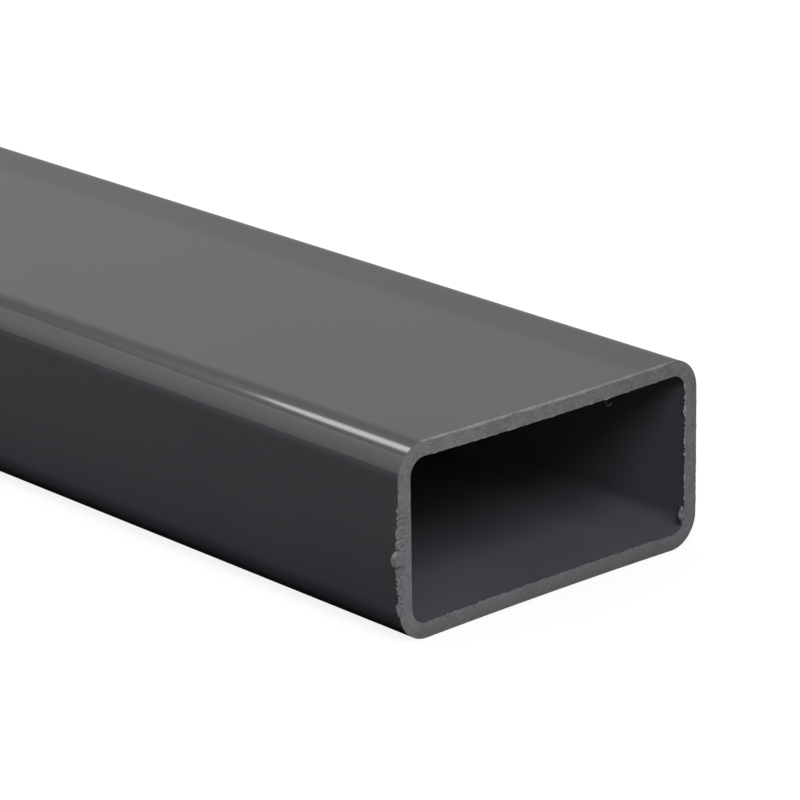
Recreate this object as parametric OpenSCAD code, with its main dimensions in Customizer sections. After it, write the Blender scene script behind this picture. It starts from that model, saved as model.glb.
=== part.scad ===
// Rectangular tube: one hollow profile, extruded in one piece and sawn square at both ends.
// It lies on a wide wall. X runs along the tube, Y across it and Z up, with the origin
// under the middle of its length, on the surface that it lies on.

/* [Section] */
// Outside width across the wide walls
section_w = 100; // [40:1:200]
// Outside height across the narrow walls
section_h = 50; // [30:1:120]
// Thickness of all four walls
wall_t = 4; // [1.5:0.1:10]
// Outside radius of the four corners
corner_r = 8.5; // [1:0.5:14]

/* [Stock] */
// Length between the two sawn ends
stock_l = 1000; // [50:10:3000]

/* [Hidden] */
// The wall keeps its thickness round each corner, down to the smallest fillet that a die leaves inside.
least_fillet_r = 0.5;
bore_w = section_w - 2 * wall_t;
bore_h = section_h - 2 * wall_t;
bore_corner_r = max(least_fillet_r, corner_r - wall_t);
// The bore is cut this far past each sawn end.
cut_past = 1;
dark_grey = [0.20, 0.21, 0.23];
$fn = 96;

// Flat rectangle with four round corners, centred on the origin.
module rounded_rectangle(w, h, r) {
    square([w - 2 * r, h], center = true);
    square([w, h - 2 * r], center = true);
    for (side_y = [-1, 1], side_z = [-1, 1])
        translate([side_y * (w / 2 - r), side_z * (h / 2 - r)]) circle(r = r);
}

// Straight bar of that outline, centred on the origin, with its length along X.
module bar_along_x(l) {
    rotate([90, 0, 90]) linear_extrude(height = l, center = true) children();
}

// The whole tube: the outline of the section with its bore cut right through.
module tube() {
    color(dark_grey)
        translate([0, 0, section_h / 2])
            difference() {
                bar_along_x(stock_l) rounded_rectangle(section_w, section_h, corner_r);
                bar_along_x(stock_l + 2 * cut_past) rounded_rectangle(bore_w, bore_h, bore_corner_r);
            }
}

tube();
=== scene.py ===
"""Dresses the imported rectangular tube: its extruded skin, its bore and its two sawn ends.

The tube is one piece of dark grey rigid plastic. Its section is drawn as a ring, extruded along X from
station to station and given its wall, so that the mesh is made the way the real profile is. The saw then
works on both ends: it leaves a dull face, lips of burr on the edges where the teeth came out, and crumbs.
"""

import logging
import math
import random
from dataclasses import dataclass, field
from enum import Enum
from functools import partial, reduce
from typing import Any

import bmesh
import bpy
from mathutils import Euler, Matrix, Vector, noise


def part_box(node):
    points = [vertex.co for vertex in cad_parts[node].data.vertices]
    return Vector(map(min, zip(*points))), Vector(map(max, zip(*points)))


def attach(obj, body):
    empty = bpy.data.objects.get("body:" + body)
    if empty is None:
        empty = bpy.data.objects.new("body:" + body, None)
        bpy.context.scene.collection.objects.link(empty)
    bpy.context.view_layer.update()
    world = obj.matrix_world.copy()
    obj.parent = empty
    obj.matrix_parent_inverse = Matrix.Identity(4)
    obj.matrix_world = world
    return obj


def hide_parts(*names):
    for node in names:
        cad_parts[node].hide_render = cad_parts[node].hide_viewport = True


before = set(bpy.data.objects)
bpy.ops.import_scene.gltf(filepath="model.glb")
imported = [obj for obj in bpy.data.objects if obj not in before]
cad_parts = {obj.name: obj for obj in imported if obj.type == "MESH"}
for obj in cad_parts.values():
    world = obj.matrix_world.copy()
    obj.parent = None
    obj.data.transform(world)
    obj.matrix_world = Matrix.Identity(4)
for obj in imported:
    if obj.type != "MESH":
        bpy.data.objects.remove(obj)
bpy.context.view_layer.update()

MM = 0.001
NODE = "tube"
BODY = "root"
TORN = "torn"
RAGGED = "ragged"

Mesh = bmesh.types.BMesh
Socket = bpy.types.NodeSocket
Tree = bpy.types.NodeTree
Material = bpy.types.Material
Span = tuple[float, float]
Triple = tuple[float, float, float]

RISE: Span = (0.0, 1.0)
FALL: Span = (1.0, 0.0)

logging.basicConfig(level=logging.INFO, format="%(message)s")
log = logging.getLogger("tube")


class Wall(Enum):
    """The four walls of the section, each with its outward direction in Y and Z."""

    TOP = (0.0, 1.0)
    BOTTOM = (0.0, -1.0)
    FRONT = (-1.0, 0.0)
    BACK = (1.0, 0.0)


class Face(Enum):
    """The surfaces of the tube, in the order of their material slots."""

    SKIN = 0
    BORE = 1
    SAWN = 2


class End(Enum):
    """The two sawn ends, by their direction along X."""

    NEAR = 1
    FAR = -1


def smoothstep(low: float, high: float, value: float) -> float:
    """Rises smoothly from 0 at low to 1 at high.

    Args:
        low: where the rise starts.
        high: where it ends.
        value: the place to measure at.

    Returns:
        The height of the rise, from 0 to 1.
    """
    t = min(1.0, max(0.0, (value - low) / (high - low)))
    return t * t * (3.0 - 2.0 * t)


def waver(place: float, pitch: float, seed: float, layer: float = 0.37) -> float:
    """Seeded noise along a line.

    Args:
        place: distance along the line.
        pitch: the length of one wave of the noise, in the same unit.
        seed: picks one of many unlike lines.
        layer: where the noise is cut, away from the whole numbers, at which it is flat.

    Returns:
        A value from about -1 to 1.
    """
    return noise.noise(Vector((place / pitch, seed, layer)))


def as_object(name: str, bm: Mesh) -> bpy.types.Object:
    """Turns a finished bmesh into an object of the scene.

    Args:
        name: the object's name.
        bm: the mesh, which is freed.

    Returns:
        The new object, at the origin.
    """
    mesh = bpy.data.meshes.new(name)
    bm.to_mesh(mesh)
    bm.free()
    made = bpy.data.objects.new(name, mesh)
    bpy.context.scene.collection.objects.link(made)
    return made


@dataclass(frozen=True)
class Section:
    """The tube's section: a rounded rectangle with a concentric bore. Points are given from its centre."""

    width: float
    height: float
    wall: float = 4.0 * MM
    corner_r: float = 8.5 * MM
    hollow: float = 0.38 * MM
    pitch: float = 0.28 * MM
    corner_steps: int = 30

    @property
    def flat_y(self) -> float:
        """Half the flat of a wide wall, between its corner curves."""
        return self.width / 2 - self.corner_r

    @property
    def flat_z(self) -> float:
        """Half the flat of a narrow wall, between its corner curves."""
        return self.height / 2 - self.corner_r

    def depth(self, y: float, z: float) -> float:
        """How deep a point of the section lies under the outer skin.

        Args:
            y: across the section.
            z: up the section.

        Returns:
            The distance to the skin, in metres: 0 on the skin and the wall's thickness on the bore.
        """
        over_y, over_z = abs(y) - self.flat_y, abs(z) - self.flat_z
        if over_y > 0 and over_z > 0:
            return self.corner_r - math.hypot(over_y, over_z)
        return self.corner_r - max(over_y, over_z)

    def facing(self, y: float, z: float, wall: Wall) -> float:
        """How squarely the section at a point faces the way that a wall does.

        Args:
            y: across the section.
            z: up the section.
            wall: the wall to compare with.

        Returns:
            1 on that wall's flat, falling to 0 round the corners.
        """
        over_y, over_z = abs(y) - self.flat_y, abs(z) - self.flat_z
        if over_y > 0 and over_z > 0:
            out = Vector((math.copysign(over_y, y), math.copysign(over_z, z))).normalized()
        elif over_y > over_z:
            out = Vector((math.copysign(1.0, y), 0.0))
        else:
            out = Vector((0.0, math.copysign(1.0, z)))
        return max(0.0, out.dot(Vector(wall.value)))

    def sag(self, y: float, z: float) -> float:
        """How far a wide wall dips towards the bore, as extruded walls do while they cool.

        Args:
            y: across the section.
            z: up the section.

        Returns:
            The offset along Z, in metres.
        """
        if abs(z) < self.flat_z:
            return 0.0
        share = min(1.0, abs(y) / self.flat_y)
        return -math.copysign(self.hollow * (1.0 - share * share), z)

    def ring(self, bm: Mesh, centre: Vector) -> list[bmesh.types.BMEdge]:
        """Draws the outline of the section as a closed ring of edges.

        Args:
            bm: the mesh that gets the ring.
            centre: the centre of the section.

        Returns:
            The ring's edges.
        """
        lay = Matrix.Translation(centre) @ Matrix.Rotation(math.radians(90), 4, "Y")
        size = Matrix.Diagonal((self.height, self.width, 1.0, 1.0))
        bmesh.ops.create_grid(bm, x_segments=1, y_segments=1, size=0.5, matrix=lay @ size)
        bmesh.ops.bevel(
            bm, geom=bm.verts[:], offset=self.corner_r, offset_type="OFFSET", segments=self.corner_steps,
            profile=0.5, affect="VERTICES", material=-1,
        )
        bmesh.ops.delete(bm, geom=bm.faces[:], context="FACES_ONLY")
        for edge in bm.edges[:]:
            steps = round(edge.calc_length() / self.pitch)
            if steps > 2:
                bmesh.ops.subdivide_edges(bm, edges=[edge], cuts=steps - 1)
        return bm.edges[:]


@dataclass(frozen=True)
class BurrLip:
    """A lip of burr that the saw's teeth drew out along one edge of one wall.

    Its sizes are in millimetres. The finer lumps and the teeth have their pitch as a share of the lip's.
    """

    wall: Wall
    inside: bool
    push: Span
    height: float
    start: float
    stop: float
    pitch: float = 2.2
    reach: float = 0.7
    base: float = 0.35
    teeth: float = 0.0
    pale: float = 1.0
    ragged: float = 0.0
    seed: float = 1.0
    fade: float = 2.0
    faintest: float = 0.01
    back_share: float = 0.6
    lump_share: float = 0.75
    fine_share: float = 0.4
    fine_waver: float = 0.5
    fine_pitch: float = 0.35
    tooth_pitch: float = 0.6
    tooth_slope: float = 5.0
    fine_seed: float = 5.0
    tooth_seed: float = 9.0

    def rise(self, section: Section, y: float, z: float, back: float) -> float:
        """How far the lip stands out at a point.

        Args:
            section: the tube's section.
            y: across the section, in metres.
            z: up the section.
            back: distance behind the sawn face.

        Returns:
            The rise, as a share of the lip's height.
        """
        deep = section.depth(y, z)
        from_edge = max(0.0, section.wall - deep if self.inside else deep) / MM
        near = math.exp(-from_edge / self.reach) * math.exp(-back / MM / (self.back_share * self.reach))
        if near < self.faintest:
            return 0.0
        along = (z if self.wall in (Wall.FRONT, Wall.BACK) else y) / MM
        span = smoothstep(self.start, self.start + self.fade, along)
        span *= smoothstep(-self.stop, self.fade - self.stop, -along)
        small = waver(along, self.fine_pitch * self.pitch, self.seed + self.fine_seed)
        sharp = waver(along, self.tooth_pitch * self.pitch, self.seed + self.tooth_seed)
        lumps = self.lump_share * max(0.0, self.base + waver(along, self.pitch, self.seed))
        fine = self.fine_share * (self.base + self.fine_waver * small)
        tooth = self.teeth * max(0.0, 1.0 - self.tooth_slope * abs(sharp))
        return near * span * section.facing(y, z, self.wall) ** 2 * max(0.0, lumps + fine + tooth)


@dataclass(frozen=True)
class Crumb:
    """A crumb of plastic that still hangs on the cut: a flattened ball with a dent in its face.

    Its sizes are in millimetres and its turn is in degrees. The layers are those of the noise that
    roughens it: how fast they weaken, how much finer each one is, and their number.
    """

    y: float
    z: float
    size: Triple
    turn: float = 0.0
    proud: float = 0.0
    dent: float = 0.5
    rough: float = 0.3
    seed: float = 1.0
    fineness: int = 4
    dent_rim: Span = (0.1, 0.8)
    lumps: float = 2.3
    layers: tuple[float, float, int] = (0.9, 2.1, 4)


@dataclass(frozen=True)
class CrumbRow:
    """A row of fine crumbs along a straight stretch of edge, in millimetres and degrees too."""

    start: Span
    stop: Span
    count: int
    size: Span
    spread: float
    seed: int
    flatness: float = 0.6
    stretch: Span = (0.8, 1.5)
    lean: float = 40.0
    rough: float = 0.45
    shapes: float = 50.0
    fineness: int = 3

    def crumbs(self) -> list[Crumb]:
        """Draws the crumbs of the row, the same ones every time.

        Returns:
            The crumbs, from the start to the stop.
        """
        draw = random.Random(self.seed)
        made = []
        for step in range(self.count):
            share = (step + draw.random()) / self.count
            ends = zip(self.start, self.stop)
            y, z = (a + (b - a) * share + draw.uniform(-1.0, 1.0) * self.spread for a, b in ends)
            across = draw.uniform(*self.size)
            size = (self.flatness * across, across, across * draw.uniform(*self.stretch))
            turn = draw.uniform(-self.lean, self.lean)
            seed = self.shapes * draw.random()
            made.append(Crumb(y, z, size, turn, rough=self.rough, seed=seed, fineness=self.fineness))
        return made


@dataclass(frozen=True)
class Curl:
    """A thin curl of swarf: part of a ring of round wire, in millimetres and degrees."""

    y: float
    z: float
    radius: float
    thickness: float
    start: float
    sweep: float
    proud: float = 0.0
    sides: int = 8
    steps: int = 14


@dataclass
class SawnEnd:
    """One sawn end of the tube: its face, its lips of burr and what hangs on them."""

    end: End
    section: Section
    face_x: float
    centre_z: float
    lips: list[BurrLip]
    crumbs: list[Crumb]
    curls: list[Curl]
    tooth_mark: float = 0.05 * MM
    mark_pitch: Span = (0.9 * MM, 1.6 * MM)
    on_face: float = 0.01 * MM
    seed: float = 3.0

    def rises(self, point: Vector) -> list[tuple[BurrLip, float]]:
        """Each lip of this end, with its rise at a point of the clean tube."""
        back = abs(self.face_x - point.x)
        return [(lip, lip.rise(self.section, point.y, point.z - self.centre_z, back)) for lip in self.lips]

    def shape(self, point: Vector) -> Vector:
        """How the saw moved a point of the tube.

        Args:
            point: a point of the clean tube.

        Returns:
            The offset of the point.
        """
        offset = Vector((0.0, 0.0, 0.0))
        for lip, rise in self.rises(point):
            offset.y += lip.push[0] * lip.height * MM * rise
            offset.z += lip.push[1] * lip.height * MM * rise
        if abs(self.face_x - point.x) < self.on_face:
            grain = Vector((point.y / self.mark_pitch[0], point.z / self.mark_pitch[1], self.seed))
            offset.x -= self.end.value * self.tooth_mark * (0.5 + 0.5 * noise.noise(grain))
        return offset

    def torn(self, point: Vector) -> float:
        """How much of a point is drawn burr, from 0 to 1, for the paler colour of torn plastic."""
        return min(1.0, sum(lip.pale * rise for lip, rise in self.rises(point)))

    def ragged(self, point: Vector) -> float:
        """How much of a point is torn open, from 0 to 1, for the pits and grain of a ragged edge."""
        return min(1.0, sum(lip.ragged * rise for lip, rise in self.rises(point)))

    def spot(self, hung: Crumb | Curl) -> Vector:
        """The middle of a crumb or curl, in metres."""
        out = self.face_x + self.end.value * hung.proud * MM
        return Vector((out, hung.y * MM, self.centre_z + hung.z * MM))

    def add_crumb(self, bm: Mesh, crumb: Crumb) -> None:
        """Adds a crumb: a ball pulled out of shape by seeded noise and dented in the middle.

        Args:
            bm: the mesh that gets the crumb.
            crumb: its place and size.
        """
        ball = bmesh.ops.create_icosphere(bm, subdivisions=crumb.fineness, radius=0.5)["verts"]
        for v in ball:
            rim = smoothstep(*crumb.dent_rim, 2.0 * math.hypot(v.co.y, v.co.z))
            v.co.x *= crumb.dent + (1.0 - crumb.dent) * rim
            where = crumb.lumps * v.co + Vector((crumb.seed, 2.0 * crumb.seed, 0.0))
            v.co *= 1.0 + crumb.rough * noise.fractal(where, *crumb.layers)
        lay = Matrix.Translation(self.spot(crumb)) @ Matrix.Rotation(math.radians(crumb.turn), 4, "X")
        size = Matrix.Diagonal((*(side * MM for side in crumb.size), 1.0))
        bmesh.ops.transform(bm, matrix=lay @ size, verts=ball)

    def add_curl(self, bm: Mesh, curl: Curl) -> None:
        """Adds a curl of swarf: a small disc spun round part of a circle.

        Args:
            bm: the mesh that gets the curl.
            curl: its place and size.
        """
        middle = self.spot(curl)
        turn = Matrix.Translation(middle) @ Matrix.Rotation(math.radians(curl.start), 4, "X")
        disc = bmesh.ops.create_circle(
            bm, cap_ends=True, segments=curl.sides, radius=curl.thickness / 2 * MM,
            matrix=turn @ Matrix.Translation((0.0, curl.radius * MM, 0.0)),
        )["verts"]
        caps = list({f for v in disc for f in v.link_faces})
        bmesh.ops.spin(
            bm, geom=caps, cent=middle, axis=(1.0, 0.0, 0.0), angle=math.radians(curl.sweep),
            steps=curl.steps, use_duplicate=False,
        )

    def debris(self) -> bpy.types.Object:
        """Builds everything that hangs on the cut as one mesh.

        Returns:
            The object, at the origin: the crumbs take its first finish and the curls its second.
        """
        bm = bmesh.new()
        for crumb in self.crumbs:
            self.add_crumb(bm, crumb)
        crumb_faces = len(bm.faces)
        for curl in self.curls:
            self.add_curl(bm, curl)
        bmesh.ops.recalc_face_normals(bm, faces=bm.faces[:])
        for number, face in enumerate(bm.faces):
            face.smooth = True
            face.material_index = int(number >= crumb_faces)
        return as_object(f"saw_crumbs_{self.end.name.lower()}_end", bm)


@dataclass
class Tube:
    """The whole tube: the section extruded along X, and the saw's work on both ends."""

    low: Vector
    high: Vector
    section: Section
    ends: list[SawnEnd] = field(default_factory=list)
    rim_cuts: int = 12
    long_steps: int = 8
    end_steps: tuple[float, ...] = (0.0, 0.1, 0.22, 0.38, 0.6, 0.9, 1.5, 2.6, 5.0)

    @property
    def centre(self) -> Vector:
        """The middle of the tube."""
        return (self.low + self.high) / 2

    def stations(self) -> list[float]:
        """Spaces the rings of the mesh, closer together towards the sawn ends.

        Returns:
            Their places along X, in order.
        """
        from_end = [step * MM for step in self.end_steps]
        first, last = self.low.x + from_end[-1], self.high.x - from_end[-1]
        middle = [first + (last - first) * i / self.long_steps for i in range(1, self.long_steps)]
        return sorted([self.low.x + s for s in from_end] + middle + [self.high.x - s for s in from_end])

    def extrude(self, bm: Mesh) -> None:
        """Draws the section at the first station, extrudes it to each next one and gives it its wall.

        Args:
            bm: the mesh that gets the tube.
        """
        stations = self.stations()
        ring = self.section.ring(bm, Vector((stations[0], self.centre.y, self.centre.z)))
        for here, there in zip(stations, stations[1:]):
            grown = bmesh.ops.extrude_edge_only(bm, edges=ring)["geom"]
            moved = [g for g in grown if isinstance(g, bmesh.types.BMVert)]
            bmesh.ops.translate(bm, vec=Vector((there - here, 0.0, 0.0)), verts=moved)
            ring = [g for g in grown if isinstance(g, bmesh.types.BMEdge)]
        bmesh.ops.recalc_face_normals(bm, faces=bm.faces[:])
        bmesh.ops.solidify(bm, geom=bm.faces[:], thickness=self.section.wall)
        bmesh.ops.recalc_face_normals(bm, faces=bm.faces[:])

    def face_of(self, face: bmesh.types.BMFace) -> Face:
        """Tells which surface of the tube a face of the clean mesh belongs to.

        Args:
            face: the face.

        Returns:
            The surface.
        """
        if abs(face.normal.x) > 0.5:
            return Face.SAWN
        middle = face.calc_center_median()
        deep = self.section.depth(middle.y - self.centre.y, middle.z - self.centre.z)
        return Face.SKIN if deep < self.section.wall / 2 else Face.BORE

    def cut_rims(self, bm: Mesh) -> None:
        """Divides the sawn faces across the wall, so that the saw's marks have something to move.

        Args:
            bm: the tube's mesh.
        """
        rim = {f for f in bm.faces if f.material_index == Face.SAWN.value}
        across = [e for e in bm.edges if all(f in rim for f in e.link_faces)]
        bmesh.ops.subdivide_edges(bm, edges=across, cuts=self.rim_cuts, use_grid_fill=True)

    def build(self) -> bpy.types.Object:
        """Builds the mesh of the tube.

        Returns:
            The object, at the origin, with its place in its mesh.
        """
        bm = bmesh.new()
        self.extrude(bm)
        for face in bm.faces:
            face.material_index = self.face_of(face).value
            face.smooth = True
        self.cut_rims(bm)
        for edge in bm.edges:
            edge.smooth = len({f.material_index for f in edge.link_faces}) == 1
        torn = bm.verts.layers.float.new(TORN)
        ragged = bm.verts.layers.float.new(RAGGED)
        for v in bm.verts:
            v[torn] = min(1.0, sum(end.torn(v.co) for end in self.ends))
            v[ragged] = min(1.0, sum(end.ragged(v.co) for end in self.ends))
            offset = Vector((0.0, 0.0, self.section.sag(v.co.y - self.centre.y, v.co.z - self.centre.z)))
            for end in self.ends:
                offset += end.shape(v.co)
            v.co += offset
        return as_object("tube_walls", bm)


class Wiring:
    """A node tree with short calls that add its nodes and join them."""

    spacing = 180.0

    def __init__(self, tree: Tree) -> None:
        """Takes the tree that the calls work on."""
        self.tree = tree

    @classmethod
    def fresh(cls, owner: Any) -> "Wiring":
        """Empties a tree.

        Args:
            owner: the material, lamp or world that has it.

        Returns:
            The wiring of the empty tree.
        """
        owner.use_nodes = True
        owner.node_tree.nodes.clear()
        return cls(owner.node_tree)

    def feed(self, socket: Socket, value: Any) -> None:
        """Gives an input its value.

        Args:
            socket: the input.
            value: a value, or the socket that feeds it.
        """
        if isinstance(value, Socket):
            self.tree.links.new(value, socket)
        else:
            socket.default_value = value

    def add(self, kind: str, inputs: dict[Any, Any] | None = None, **settings: Any) -> bpy.types.Node:
        """Adds a node.

        Args:
            kind: the node's type, without the ShaderNode that starts it.
            inputs: for each input, by name or number, a value or the socket that feeds it.
            settings: the node's own properties.

        Returns:
            The new node.
        """
        node = self.tree.nodes.new("ShaderNode" + kind)
        node.location = (self.spacing * len(self.tree.nodes), 0.0)
        for name, value in settings.items():
            setattr(node, name, value)
        for name, value in (inputs or {}).items():
            self.feed(node.inputs[name], value)
        return node

    def group(self, tree: Tree, place: Socket, **values: float) -> Any:
        """Places a shared group that reads the coordinates, and gives its outputs."""
        return self.add("Group", {"Vector": place, **values}, node_tree=tree).outputs

    def math(self, operation: str, *values: Any, clamp: bool = False) -> Socket:
        """Adds a Math node.

        Args:
            operation: what it does.
            values: its inputs, as numbers or sockets.
            clamp: whether its result is held between 0 and 1.

        Returns:
            Its output.
        """
        inputs = dict(enumerate(values))
        return self.add("Math", inputs, operation=operation, use_clamp=clamp).outputs[0]

    def times(self, *values: Any) -> Socket:
        """Multiplies numbers and sockets with one another."""
        return reduce(partial(self.math, "MULTIPLY"), values)

    def hypot(self, *parts: Socket) -> Socket:
        """The length of a vector, from its two parts."""
        return self.math("SQRT", self.math("ADD", *(self.times(part, part) for part in parts)))

    def split(self, place: Socket) -> Any:
        """The three parts of a vector."""
        return self.add("SeparateXYZ", {0: place}).outputs

    def join(self, *parts: Socket) -> Socket:
        """The vector that has the three parts."""
        return self.add("CombineXYZ", dict(enumerate(parts))).outputs[0]

    def attribute(self, name: str) -> Socket:
        """A number that the points of the mesh carry."""
        return self.add("Attribute", attribute_name=name, attribute_type="GEOMETRY").outputs["Fac"]

    def blend(self, factor: Any, first: Any, second: Any) -> Socket:
        """Mixes two colours, where the factor is the share of the second."""
        return self.add("Mix", {0: factor, 6: first, 7: second}, data_type="RGBA").outputs[2]

    def ramp(self, value: Any, span: Span, levels: Span = RISE) -> Socket:
        """Eases from one level to another.

        Args:
            value: what is mapped.
            span: the values between which the level changes.
            levels: the level at each of them, which it also keeps beyond them.

        Returns:
            The level.
        """
        names = ("Value", "From Min", "From Max", "To Min", "To Max")
        inputs = dict(zip(names, (value, *span, *levels)))
        return self.add("MapRange", inputs, interpolation_type="SMOOTHSTEP").outputs[0]

    def noise(self, place: Socket, detail: float, roughness: float, size: Any = 1.0) -> Socket:
        """Adds a Noise Texture node.

        Args:
            place: the coordinates.
            detail: how many finer layers it has.
            roughness: how strong the finer layers are.
            size: the size of its blotches, as a number or a socket.

        Returns:
            The noise, round a half.
        """
        scale = self.math("DIVIDE", 1.0, size)
        inputs = {"Vector": place, "Scale": scale, "Detail": detail, "Roughness": roughness}
        return self.add("TexNoise", inputs).outputs[0]

    def rays(self) -> tuple[Socket, Socket]:
        """Picks out the camera's own rays, and those that gloss and glass send on."""
        kinds = self.add("LightPath").outputs
        gloss = self.math("MAXIMUM", kinds["Is Glossy Ray"], kinds["Is Transmission Ray"])
        return kinds["Is Camera Ray"], gloss


@dataclass
class GroupShelf:
    """The shader node groups that the finishes share, each built once.

    Each span holds the two levels of noise, or of an attribute, between which an effect comes or goes.
    """

    section: Section
    centre_z: float
    streaks: Span = (0.58, 0.74)
    scratches: Span = (0.56, 0.72)
    pit_rims: Span = (0.36, 0.5)
    ragged_edge: Span = (0.05, 0.35)
    burr_edge: Span = (0.02, 0.22)
    patches: Span = (0.3, 0.7)
    patch_levels: Span = (0.5, 1.0)

    def __post_init__(self) -> None:
        """Builds every group."""
        self.die_lines = self.build_die_lines()
        self.cloud = self.build_cloud()
        self.saw_arcs = self.build_saw_arcs()
        self.wall_grain = self.build_wall_grain()
        self.pits = self.build_pits()
        self.torn_edge = self.build_torn_edge()

    @staticmethod
    def start(name: str, inputs: dict[str, float | None], outputs: list[str]) -> tuple[Wiring, Any, Any]:
        """Starts a group with its sockets.

        Args:
            name: the group's name.
            inputs: each input's name with its default, where None stands for a vector.
            outputs: the names of the values that it puts out.

        Returns:
            The group's wiring, its input sockets and its output node's sockets.
        """
        tree = bpy.data.node_groups.new(name, "ShaderNodeTree")
        for label, default in inputs.items():
            kind = "NodeSocketVector" if default is None else "NodeSocketFloat"
            socket = tree.interface.new_socket(label, in_out="INPUT", socket_type=kind)
            if default is not None:
                socket.default_value = default
        for label in outputs:
            tree.interface.new_socket(label, in_out="OUTPUT", socket_type="NodeSocketFloat")
        take = tree.nodes.new("NodeGroupInput").outputs
        give = tree.nodes.new("NodeGroupOutput").inputs
        return Wiring(tree), take, give

    def build_die_lines(self) -> Tree:
        """Fine lines that the die draws along the profile.

        Returns:
            The group: Height is the relief of the lines, and Streak picks out a few of them.
        """
        inputs = {"Vector": None, "Pitch": 1.5 * MM, "Run": 0.6}
        wiring, take, give = self.start("die_lines", inputs, ["Height", "Streak"])
        across, along = (wiring.math("DIVIDE", 1.0, take[name]) for name in ("Pitch", "Run"))
        stretch = {0: take["Vector"], 1: wiring.join(along, across, across)}
        place = wiring.add("VectorMath", stretch, operation="MULTIPLY").outputs[0]
        lines = wiring.noise(place, detail=3.0, roughness=0.6)
        wiring.feed(give["Height"], lines)
        wiring.feed(give["Streak"], wiring.ramp(lines, self.streaks))
        return wiring.tree

    def build_cloud(self) -> Tree:
        """Slow and fine variation in one, as in any compounded plastic.

        Returns:
            The group: Factor varies round a half.
        """
        inputs = {"Vector": None, "Slow": 30.0 * MM, "Fine": 0.6 * MM}
        wiring, take, give = self.start("cloud", inputs, ["Factor"])
        slow = wiring.noise(take["Vector"], detail=2.0, roughness=0.6, size=take["Slow"])
        fine = wiring.noise(take["Vector"], detail=4.0, roughness=0.6, size=take["Fine"])
        wiring.feed(give["Factor"], wiring.times(wiring.math("ADD", slow, fine), 0.5))
        return wiring.tree

    def build_saw_arcs(self) -> Tree:
        """The arcs that a round saw blade leaves on a cut across X.

        Returns:
            The group: Height is the relief of the arcs, and Scratch picks out the deepest.
        """
        inputs = {"Vector": None, "Hub Y": 0.14, "Hub Z": -0.06, "Pitch": 0.7 * MM, "Run": 6.0 * MM}
        wiring, take, give = self.start("saw_arcs", inputs, ["Height", "Scratch"])
        parts = wiring.split(take["Vector"])
        y = wiring.math("SUBTRACT", parts[1], take["Hub Y"])
        z = wiring.math("SUBTRACT", parts[2], take["Hub Z"])
        radius = wiring.hypot(y, z)
        swing = wiring.times(wiring.math("ARCTAN2", z, wiring.times(y, -1.0)), radius)
        out = wiring.math("DIVIDE", radius, take["Pitch"])
        along = wiring.math("DIVIDE", swing, take["Run"])
        arcs = wiring.noise(wiring.join(out, along, parts[0]), detail=3.0, roughness=0.65)
        wiring.feed(give["Height"], arcs)
        wiring.feed(give["Scratch"], wiring.ramp(arcs, self.scratches))
        return wiring.tree

    def build_wall_grain(self) -> Tree:
        """The grain of a cut across the walls, drawn out along each wall and round the corners.

        Returns:
            The group: Factor varies round a half.
        """
        inputs = {"Vector": None, "Across": 0.33 * MM, "Along": 1.2 * MM}
        wiring, take, give = self.start("wall_grain", inputs, ["Factor"])
        parts = wiring.split(take["Vector"])
        above = wiring.math("SUBTRACT", parts[2], self.centre_z)
        over = []
        for part, flat in ((parts[1], self.section.flat_y), (above, self.section.flat_z)):
            past = wiring.math("SUBTRACT", wiring.math("ABSOLUTE", part), flat)
            over.append(wiring.math("MAXIMUM", past, 0.0))
        across = wiring.math("DIVIDE", wiring.hypot(*over), take["Across"])
        along = (wiring.math("DIVIDE", part, take["Along"]) for part in (parts[1], above))
        grain = wiring.noise(wiring.join(across, *along), detail=2.0, roughness=0.55)
        wiring.feed(give["Factor"], grain)
        return wiring.tree

    def build_pits(self) -> Tree:
        """The pits where the teeth tore the edge open.

        Returns:
            The group: Pit is 1 in a pit, where the cut gets painted shade, and Height is the relief of the
                torn plastic.
        """
        wiring, take, give = self.start("pits", {"Vector": None, "Size": 0.5 * MM}, ["Pit", "Height"])
        lumps = wiring.noise(take["Vector"], detail=3.0, roughness=0.6, size=take["Size"])
        spread = wiring.ramp(wiring.attribute(RAGGED), self.ragged_edge)
        wiring.feed(give["Pit"], wiring.times(spread, wiring.ramp(lumps, self.pit_rims, FALL)))
        wiring.feed(give["Height"], wiring.times(spread, lumps))
        return wiring.tree

    def build_torn_edge(self) -> Tree:
        """The paler colour of plastic that the teeth drew out into burr.

        Returns:
            The group: Mask is 1 where the plastic is whitest.
        """
        wiring, take, give = self.start("torn_edge", {"Vector": None, "Size": 0.5 * MM}, ["Mask"])
        lumps = wiring.noise(take["Vector"], detail=3.0, roughness=0.6, size=take["Size"])
        patch = wiring.ramp(lumps, self.patches, self.patch_levels)
        spread = wiring.ramp(wiring.attribute(TORN), self.burr_edge)
        wiring.feed(give["Mask"], wiring.times(spread, patch))
        return wiring.tree


def paint(colour: Triple) -> tuple[float, float, float, float]:
    """Gives a colour the alpha that a socket wants."""
    return (*colour, 1.0)


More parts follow.
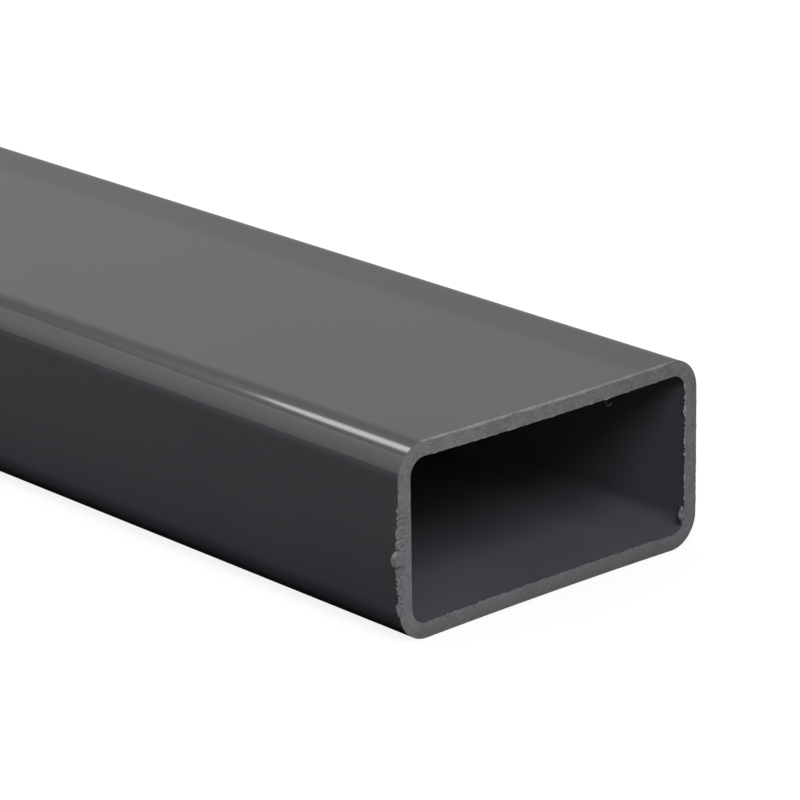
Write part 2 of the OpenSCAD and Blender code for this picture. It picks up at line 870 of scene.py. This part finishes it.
@dataclass(frozen=True)
class Finish:
    """What every finish of the plastic has: its name, its two shades, its roughness and its gleam.

    The gleam is the strength of the mirror reflection, where 0.5 is plain plastic.
    """

    name: str
    dark: Triple
    light: Triple
    gloss: Span
    ior: float = 1.3
    gleam: float = 0.5
    mottle: Span = (0.35, 0.65)
    gloss_drift: Span = (0.3, 0.7)

    def open_material(self) -> tuple[Material, Wiring, Socket]:
        """Starts the material.

        Returns:
            The material, its wiring and the Object coordinates.
        """
        material = bpy.data.materials.new(self.name)
        wiring = Wiring.fresh(material)
        return material, wiring, wiring.add("TexCoord").outputs["Object"]

    def mottled(self, wiring: Wiring, cloud: Socket) -> Socket:
        """Wires the drift between the two shades, which follows the cloud."""
        return wiring.blend(wiring.ramp(cloud, self.mottle), paint(self.dark), paint(self.light))

    def close_material(
        self, wiring: Wiring, colour: Socket, roughness: Socket, height: Socket, depth: float, gleam: Any,
    ) -> None:
        """Ends the material with its shader.

        Args:
            wiring: the material's wiring.
            colour: what feeds the base colour.
            roughness: what feeds the roughness.
            height: the relief.
            depth: the depth in metres of a relief of 1.
            gleam: the strength of the mirror reflection, as a number or a socket.
        """
        bump = wiring.add("Bump", {"Height": height, "Distance": depth, "Strength": 1.0}).outputs[0]
        inputs = {"Base Color": colour, "Roughness": roughness, "Normal": bump, "IOR": self.ior}
        inputs["Specular IOR Level"] = gleam
        shader = wiring.add("BsdfPrincipled", inputs)
        wiring.add("OutputMaterial", {"Surface": shader.outputs[0]})


@dataclass(frozen=True)
class SkinFinish(Finish):
    """The glossy skin that the die and the cooling bath leave on the outside."""

    line_depth: float = 0.0004 * MM
    torn: Triple = (0.26, 0.26, 0.25)
    torn_roughness: float = 0.5
    band_rise: Span = (26.0 * MM, 33.0 * MM)
    band_fall: Span = (42.0 * MM, 46.0 * MM)
    band_height: Span = (40.0 * MM, 47.0 * MM)
    band_gleam: float = 0.35

    def dull_band(self, wiring: Wiring, place: Socket) -> Socket:
        """Wires a band along one edge of the top where the mirror reflection is weaker, so that the top
        looks darker there.

        Args:
            wiring: the material's wiring.
            place: the Object coordinates.

        Returns:
            The strength of the mirror reflection.
        """
        parts = wiring.split(place)
        rise = wiring.ramp(parts[1], self.band_rise)
        fall = wiring.ramp(parts[1], self.band_fall, FALL)
        mask = wiring.times(rise, fall, wiring.ramp(parts[2], self.band_height))
        return wiring.math("MULTIPLY_ADD", mask, self.band_gleam - self.gleam, self.gleam)

    def dress(self, shelf: GroupShelf) -> Material:
        """Builds the material of the skin.

        Args:
            shelf: the shared node groups.

        Returns:
            The material.
        """
        material, wiring, place = self.open_material()
        lines = wiring.group(shelf.die_lines, place)
        cloud = wiring.group(shelf.cloud, place)["Factor"]
        edge = wiring.group(shelf.torn_edge, place)["Mask"]
        colour = wiring.blend(edge, self.mottled(wiring, cloud), paint(self.torn))
        polished = wiring.ramp(lines["Streak"], RISE, self.gloss)
        roughness = wiring.math("ADD", polished, wiring.times(edge, self.torn_roughness))
        gleam = self.dull_band(wiring, place)
        self.close_material(wiring, colour, roughness, lines["Height"], self.line_depth, gleam)
        return material


@dataclass(frozen=True)
class BoreFinish(Finish):
    """The duller inside, which cooled in still air."""

    line_depth: float = 0.004 * MM
    line_pitch: float = 2.2 * MM
    line_run: float = 0.18
    scratch: Triple = (0.11, 0.11, 0.115)
    scratch_share: float = 0.25
    torn: Triple = (0.22, 0.22, 0.215)

    def dress(self, shelf: GroupShelf) -> Material:
        """Builds the material of the bore.

        Args:
            shelf: the shared node groups.

        Returns:
            The material.
        """
        material, wiring, place = self.open_material()
        lines = wiring.group(shelf.die_lines, place, Pitch=self.line_pitch, Run=self.line_run)
        cloud = wiring.group(shelf.cloud, place)["Factor"]
        edge = wiring.group(shelf.torn_edge, place)["Mask"]
        streaks = wiring.times(lines["Streak"], self.scratch_share)
        scored = wiring.blend(streaks, self.mottled(wiring, cloud), paint(self.scratch))
        colour = wiring.blend(edge, scored, paint(self.torn))
        roughness = wiring.ramp(cloud, self.gloss_drift, self.gloss)
        self.close_material(wiring, colour, roughness, lines["Height"], self.line_depth, self.gleam)
        return material


@dataclass(frozen=True)
class SawnFinish(Finish):
    """The dull cut: paler than the skin, with the saw's arcs, torn grain, whitened burr and painted shade,
    darker low down, towards +Y and in its pits.

    The relief shares are those of the cloud, the grain, the arcs and the pits.
    """

    mark_depth: float = 0.06 * MM
    relief_shares: tuple[float, ...] = (0.8, 0.6, 0.4, 5.0)
    cloud_size: float = 5.0 * MM
    grain_size: float = 0.55 * MM
    scratch: Triple = (0.075, 0.075, 0.078)
    scratch_share: float = 0.2
    torn: Triple = (0.36, 0.36, 0.342)
    torn_size: float = 0.9 * MM
    # Painted shade in the pits, standing in for the shade in their hollows: its colour and share.
    pit: Triple = (0.07, 0.07, 0.072)
    pit_shade_share: float = 0.7
    grain_contrast: Span = (2.6, 6.4)
    grain_reach: Span = (6.0 * MM, 46.0 * MM)
    # Painted shade of the cut: its levels low down and from -Y to +Y, and the spans over which they change.
    low_shade: Span = (0.78, 1.0)
    low_reach: Span = (0.5 * MM, 4.5 * MM)
    side_shade: Span = (1.03, 0.9)
    side_reach: Span = (-50.0 * MM, 50.0 * MM)

    def painted_shade(self, wiring: Wiring, place: Socket) -> Socket:
        """Wires painted shade over the cut, darker low down and towards +Y, standing in for the light's
        fall-off over it.

        Args:
            wiring: the material's wiring.
            place: the Object coordinates.

        Returns:
            The factor of painted shade for the colour.
        """
        parts = wiring.split(place)
        low = wiring.ramp(parts[2], self.low_reach, self.low_shade)
        return wiring.times(low, wiring.ramp(parts[1], self.side_reach, self.side_shade))

    def dress(self, shelf: GroupShelf) -> Material:
        """Builds the material of the sawn faces.

        Args:
            shelf: the shared node groups.

        Returns:
            The material.
        """
        material, wiring, place = self.open_material()
        arcs = wiring.group(shelf.saw_arcs, place)
        cloud = wiring.group(shelf.cloud, place, Slow=self.cloud_size, Fine=self.grain_size)["Factor"]
        grain = wiring.group(shelf.wall_grain, place)["Factor"]
        pits = wiring.group(shelf.pits, place)
        edge = wiring.group(shelf.torn_edge, place, Size=self.torn_size)["Mask"]
        contrast = wiring.ramp(wiring.split(place)[2], self.grain_reach, self.grain_contrast)
        swing = wiring.math("SUBTRACT", wiring.math("ADD", cloud, grain), 1.0)
        shade = wiring.math("MULTIPLY_ADD", swing, contrast, 0.5, clamp=True)
        colour = wiring.blend(shade, paint(self.dark), paint(self.light))
        colour = wiring.blend(wiring.times(arcs["Scratch"], self.scratch_share), colour, paint(self.scratch))
        # Painted shade: the pits are darkened, standing in for the shade in their hollows.
        colour = wiring.blend(wiring.times(pits["Pit"], self.pit_shade_share), colour, paint(self.pit))
        colour = wiring.blend(edge, colour, paint(self.torn))
        # Painted shade: the colour is darkened low down and towards +Y.
        shaded = {0: colour, "Scale": self.painted_shade(wiring, place)}
        colour = wiring.add("VectorMath", shaded, operation="SCALE").outputs[0]
        roughness = wiring.ramp(cloud, self.gloss_drift, self.gloss)
        relief = 0.0
        for height, share in zip((cloud, grain, arcs["Height"], pits["Height"]), self.relief_shares):
            relief = wiring.math("MULTIPLY_ADD", height, share, relief)
        self.close_material(wiring, colour, roughness, relief, self.mark_depth, self.gleam)
        return material


class Palette(Enum):
    """The finishes of the plastic, with their colours as linear shares of white."""

    SKIN = SkinFinish("skin", (0.0245, 0.0235, 0.0305), (0.0275, 0.0265, 0.0335), (0.07, 0.11))
    BORE = BoreFinish("bore", (0.0618, 0.0609, 0.0725), (0.0728, 0.0718, 0.0842), (0.42, 0.5))
    SAWN = SawnFinish("sawn", (0.131, 0.13, 0.139), (0.186, 0.185, 0.197), (0.7, 0.8))


@dataclass(frozen=True)
class Softbox:
    """A flat soft lamp, brightest at one spot and fading from there to its edges."""

    name: str
    place: Triple
    aim: Triple
    size: Span
    radiance: float
    hot_spot: Span = (0.0, 0.0)
    reach: Span | None = None
    core: float = 0.0
    round: bool = False

    @property
    def turn(self) -> Matrix:
        """The lamp's turn: its sheet lies across X and Y, and it shines along -Z."""
        return (Vector(self.aim) - Vector(self.place)).to_track_quat("-Z", "Y").to_matrix()

    def fade(self, data: bpy.types.Light) -> None:
        """Lets the lamp's brightness fall off round its hot spot.

        Args:
            data: the lamp's data.
        """
        wiring = Wiring.fresh(data)
        spot = Vector(self.place) + self.turn @ Vector((*self.hot_spot, 0.0))
        place = wiring.add("NewGeometry").outputs["Position"]
        away = wiring.add("VectorMath", {0: place, 1: spot}, operation="SUBTRACT").outputs[0]
        parts = []
        for axis, reach in enumerate(self.reach):
            way = {0: away, 1: self.turn.col[axis] / reach}
            parts.append(wiring.add("VectorMath", way, operation="DOT_PRODUCT").outputs["Value"])
        strength = wiring.ramp(wiring.hypot(*parts), (self.core, 1.0), FALL)
        glow = wiring.add("Emission", {"Strength": strength}).outputs[0]
        wiring.add("OutputLight", {"Surface": glow})

    def hang(self) -> None:
        """Puts the lamp into the scene, where the camera doesn't see it."""
        data = bpy.data.lights.new(self.name, "AREA")
        data.shape = "ELLIPSE" if self.round else "RECTANGLE"
        data.size, data.size_y = self.size
        area = self.size[0] * self.size[1] * (math.pi / 4 if self.round else 1.0)
        data.energy = math.pi * area * self.radiance
        if self.reach:
            self.fade(data)
        lamp = bpy.data.objects.new(self.name, data)
        bpy.context.scene.collection.objects.link(lamp)
        lamp.location = self.place
        lamp.rotation_euler = self.turn.to_euler()
        lamp.visible_camera = False


@dataclass(frozen=True)
class Viewpoint:
    """Where the photograph was taken from, and with what lens."""

    target: Triple = (0.469874, -0.022007, 0.047827)
    distance: float = 1.03352
    azimuth: float = 48.2534
    elevation: float = 18.9184
    roll: float = -0.889
    lens: float = 191.75
    sensor: float = 36.0
    clip: Span = (0.05, 50.0)

    def set_up(self) -> None:
        """Puts the camera there and makes it the scene's."""
        data = bpy.data.cameras.new("camera")
        data.lens = self.lens
        data.sensor_width = self.sensor
        data.sensor_fit = "HORIZONTAL"
        data.clip_start, data.clip_end = self.clip
        camera = bpy.data.objects.new("camera", data)
        bpy.context.scene.collection.objects.link(camera)
        tilt = Euler((math.radians(90.0 - self.elevation), 0.0, math.radians(self.azimuth)))
        turn = tilt.to_matrix() @ Matrix.Rotation(math.radians(self.roll), 3, "Z")
        camera.rotation_euler = turn.to_euler()
        camera.location = Vector(self.target) + self.distance * (turn @ Vector((0.0, 0.0, 1.0)))
        bpy.context.scene.camera = camera


@dataclass
class Studio:
    """The white floor and surroundings, the soft lamps and the camera."""

    floor_half: float = 8.0
    floor_cells: int = 4
    floor_drop: float = 0.02 * MM
    floor_colour: float = 0.13
    floor_glow: float = 0.94
    gloss_colour: float = 0.3
    gloss_glow: float = 0.3
    sheen_ior: float = 1.1
    sheen_roughness: float = 0.15
    shade_reach: float = 0.3
    shade_samples: int = 8
    shade_power: float = 0.8
    seen_shade: float = 0.07
    sky_light: float = 0.1
    sky_levels: Span = (0.55, 1.25)
    sky_rise: Span = (0.05, 0.57)
    lamps: tuple[Softbox, ...] = (
        Softbox("side_softbox", (-0.419, -0.744, 0.423), (0.539, -0.122, 0.052), (1.2, 0.847), 2.42,
                hot_spot=(0.54, 0.343), reach=(1.5, 1.4), core=0.38),
        Softbox("overhead_softbox", (-0.697, -0.437, 1.3), (-0.697, -0.437, 0.0), (1.4, 2.8), 1.94,
                reach=(0.7, 1.4)),
        Softbox("hair_lamp", (-0.32, -0.133, 0.87), (-0.32, -0.133, 0.0), (0.214, 0.47), 12.9,
                hot_spot=(0.05, 0.0), reach=(0.45, 0.235), core=0.15, round=True),
        Softbox("key_softbox", (1.33, -0.45, 1.05), (0.5, 0.0, 0.03), (0.8, 0.8), 11.7,
                reach=(0.45, 0.45), core=0.6),
        Softbox("low_softbox", (1.6, -0.56, 0.32), (0.5, 0.0, 0.025), (0.3, 0.3), 3.5),
        Softbox("end_softbox", (1.478, 0.103, 0.713), (0.5, 0.0, 0.025), (0.34, 0.34), 6.4),
    )
    viewpoint: Viewpoint = field(default_factory=Viewpoint)

    def floor_material(self) -> Material:
        """Builds the floor's material, in which the tube's shade comes from how open the sky is.

        Returns:
            The material: for the camera and for gloss it glows by itself, and for plain light it is grey.
        """
        material = bpy.data.materials.new("floor")
        material.cycles.emission_sampling = "NONE"
        wiring = Wiring.fresh(material)
        camera, gloss = wiring.rays()
        reach = {"Distance": self.shade_reach}
        sky = wiring.add("AmbientOcclusion", reach, samples=self.shade_samples).outputs["AO"]
        open_share = wiring.math("MULTIPLY_ADD", sky, 2.0, -1.0, clamp=True)
        shade = wiring.math("POWER", open_share, self.shade_power)
        faint = wiring.math("MULTIPLY_ADD", shade, self.seen_shade, 1.0 - self.seen_shade)
        dimmed = wiring.times(shade, self.gloss_colour)
        colour = wiring.add("Mix", {0: gloss, 2: self.floor_colour, 3: dimmed}).outputs[0]
        matt = wiring.add("BsdfDiffuse", {"Color": colour}).outputs[0]
        for_camera = wiring.times(camera, faint, self.floor_glow)
        glow = wiring.math("ADD", for_camera, wiring.times(gloss, shade, self.gloss_glow))
        own = wiring.add("Emission", {"Strength": glow}).outputs[0]
        both = wiring.add("AddShader", {0: matt, 1: own}).outputs[0]
        mirror = wiring.add("BsdfAnisotropic", {"Roughness": self.sheen_roughness}).outputs[0]
        grazing = wiring.add("Fresnel", {"IOR": self.sheen_ior}).outputs[0]
        whole = wiring.add("MixShader", {0: wiring.times(grazing, gloss), 1: both, 2: mirror}).outputs[0]
        wiring.add("OutputMaterial", {"Surface": whole})
        return material

    def lay_floor(self) -> None:
        """Lays the floor just under the tube."""
        bm = bmesh.new()
        place = Matrix.Translation((0.0, 0.0, -self.floor_drop))
        cells = self.floor_cells
        bmesh.ops.create_grid(bm, x_segments=cells, y_segments=cells, size=self.floor_half, matrix=place)
        floor = as_object("floor", bm)
        floor.data.materials.append(self.floor_material())

    def light_surroundings(self) -> None:
        """Makes the surroundings white for the camera, paler upwards in gloss, and dim for plain light."""
        world = bpy.data.worlds.new("surroundings")
        wiring = Wiring.fresh(world)
        camera, gloss = wiring.rays()
        height = wiring.split(wiring.add("TexCoord").outputs["Generated"])[2]
        paler = wiring.ramp(height, self.sky_rise, self.sky_levels)
        plain = wiring.math("MAXIMUM", camera, self.sky_light)
        strength = wiring.math("MAXIMUM", plain, wiring.times(gloss, paler))
        sky = wiring.add("Background", {"Color": paint((1.0, 1.0, 1.0)), "Strength": strength})
        wiring.add("OutputWorld", {"Surface": sky.outputs[0]})
        bpy.context.scene.world = world

    def set_up(self) -> None:
        """Sets up the whole studio."""
        bpy.context.scene.view_settings.view_transform = "Standard"
        self.lay_floor()
        self.light_surroundings()
        for lamp in self.lamps:
            lamp.hang()
        self.viewpoint.set_up()


def near_end(section: Section, face_x: float, centre_z: float) -> SawnEnd:
    """The sawn end that the photograph shows.

    Args:
        section: the tube's section.
        face_x: where the cut is.
        centre_z: the height of the section's centre.

    Returns:
        The end, with its burr and crumbs where the photograph has them.
    """
    lips = [
        BurrLip(Wall.FRONT, False, (-1.0, 0.0), 0.7, -18.0, 11.0, pitch=1.8, reach=1.1, base=0.3,
                teeth=0.7, pale=0.12, ragged=1.0, seed=1.0),
        BurrLip(Wall.BACK, True, (-1.0, 0.0), 1.0, -19.0, 19.0, pitch=2.6, reach=0.45, base=0.08,
                teeth=0.4, pale=0.7, ragged=0.3, seed=2.0),
        BurrLip(Wall.BACK, False, (1.0, 0.0), 0.25, -15.0, 15.0, reach=0.4, base=0.1, teeth=0.4,
                pale=0.1, seed=6.0),
        BurrLip(Wall.TOP, False, (0.0, 1.0), 0.25, -43.0, 43.0, pitch=4.5, reach=0.24, base=0.5, seed=3.0),
        BurrLip(Wall.TOP, True, (0.0, -1.0), 0.2, -41.0, 41.0, reach=0.3, base=0.1, teeth=0.3, pale=0.25,
                seed=7.0),
        BurrLip(Wall.BOTTOM, True, (0.0, 1.0), 0.4, -42.0, 42.0, pitch=1.7, reach=0.35, base=0.1,
                teeth=0.5, pale=0.2, ragged=0.3, seed=4.0),
    ]
    crumbs = [
        Crumb(-50.75, -2.5, (1.8, 3.5, 4.1), proud=0.35, dent=0.6, rough=0.24),
        Crumb(-50.35, 0.8, (0.8, 1.6, 2.1), proud=0.1, dent=0.3, seed=2.0),
        Crumb(-50.35, 3.4, (0.7, 1.3, 2.7), turn=12.0, dent=0.4, seed=3.0),
        Crumb(-50.2, 9.4, (0.5, 0.9, 0.9), seed=4.0),
        Crumb(-50.55, -5.6, (0.8, 1.4, 2.1), dent=0.4, seed=5.0),
        Crumb(-50.35, -7.7, (0.7, 1.3, 1.9), dent=0.3, rough=0.5, seed=9.0),
        Crumb(-50.5, -10.4, (0.4, 0.55, 1.7), turn=24.0, seed=10.0),
        Crumb(-50.6, -15.4, (0.5, 0.9, 2.1), turn=18.0, rough=0.5, seed=6.0),
        Crumb(44.9, -15.9, (1.0, 1.8, 3.6), turn=-8.0, proud=0.1, dent=0.2, rough=0.4, seed=7.0),
        Crumb(45.4, -18.4, (0.7, 1.1, 1.3), rough=0.4, seed=8.0),
    ]
    rows = [
        CrumbRow((-50.15, 9.5), (-50.15, -1.0), 9, (0.4, 0.9), 0.2, 31),
        CrumbRow((-50.15, -4.0), (-50.1, -17.0), 17, (0.5, 1.1), 0.25, 32),
        CrumbRow((46.0, 15.0), (46.0, -14.0), 8, (0.4, 0.8), 0.12, 33),
        CrumbRow((-40.0, -21.0), (40.0, -21.0), 8, (0.35, 0.8), 0.1, 34),
    ]
    for row in rows:
        crumbs += row.crumbs()
    curls = [Curl(20.4, 19.4, 1.1, 0.17, 60.0, 260.0, proud=-1.0)]
    return SawnEnd(End.NEAR, section, face_x, centre_z, lips, crumbs, curls)


def far_end(section: Section, face_x: float, centre_z: float) -> SawnEnd:
    """The other sawn end, which the same saw left much the same.

    Args:
        section: the tube's section.
        face_x: where the cut is.
        centre_z: the height of the section's centre.

    Returns:
        The end, with burr and crumbs of its own.
    """
    lips = [
        BurrLip(Wall.BACK, False, (1.0, 0.0), 0.6, -16.0, 14.0, pitch=2.0, reach=1.0, base=0.3,
                teeth=0.6, pale=0.12, ragged=1.0, seed=11.0),
        BurrLip(Wall.FRONT, True, (1.0, 0.0), 0.8, -19.0, 19.0, pitch=2.6, reach=0.45, base=0.08,
                teeth=0.4, pale=0.7, ragged=0.3, seed=12.0),
        BurrLip(Wall.TOP, False, (0.0, 1.0), 0.25, -43.0, 43.0, pitch=4.5, reach=0.24, base=0.5, seed=13.0),
        BurrLip(Wall.BOTTOM, True, (0.0, 1.0), 0.35, -42.0, 42.0, pitch=1.9, reach=0.35, base=0.1,
                teeth=0.5, pale=0.2, ragged=0.3, seed=14.0),
    ]
    crumbs = [
        Crumb(50.2, -6.0, (1.0, 1.9, 2.4), proud=0.1, dent=0.35, seed=21.0),
        Crumb(50.1, 4.5, (0.7, 1.3, 1.5), seed=22.0),
        Crumb(-45.5, 6.5, (0.8, 1.4, 1.7), seed=23.0),
    ]
    crumbs += CrumbRow((50.1, -15.0), (50.1, 13.0), 18, (0.4, 1.0), 0.2, 41).crumbs()
    curls = [Curl(-17.0, 19.6, 1.0, 0.17, 70.0, 230.0, proud=-0.9)]
    return SawnEnd(End.FAR, section, face_x, centre_z, lips, crumbs, curls, seed=8.0)


def dress(piece: bpy.types.Object, finishes: list[Material]) -> None:
    """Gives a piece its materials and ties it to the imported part.

    Args:
        piece: the piece.
        finishes: its materials, in the order of its slots.
    """
    for finish in finishes:
        piece.data.materials.append(finish)
    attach(piece, BODY)
    log.info("%s: %d faces, %d finishes", piece.name, len(piece.data.polygons), len(finishes))


def main() -> None:
    """Builds the tube and the studio, and reports each piece."""
    low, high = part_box(NODE)
    section = Section(width=high.y - low.y, height=high.z - low.z)
    centre_z = (low.z + high.z) / 2
    ends = [near_end(section, high.x, centre_z), far_end(section, low.x, centre_z)]
    shelf = GroupShelf(section, centre_z)
    skin, bore, sawn = (finish.value.dress(shelf) for finish in Palette)
    walls = Tube(low, high, section, ends).build()
    dress(walls, [skin, bore, sawn])
    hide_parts(NODE)
    for end in ends:
        dress(end.debris(), [sawn, bore])
    Studio().set_up()


if __name__ == "__main__":
    main()
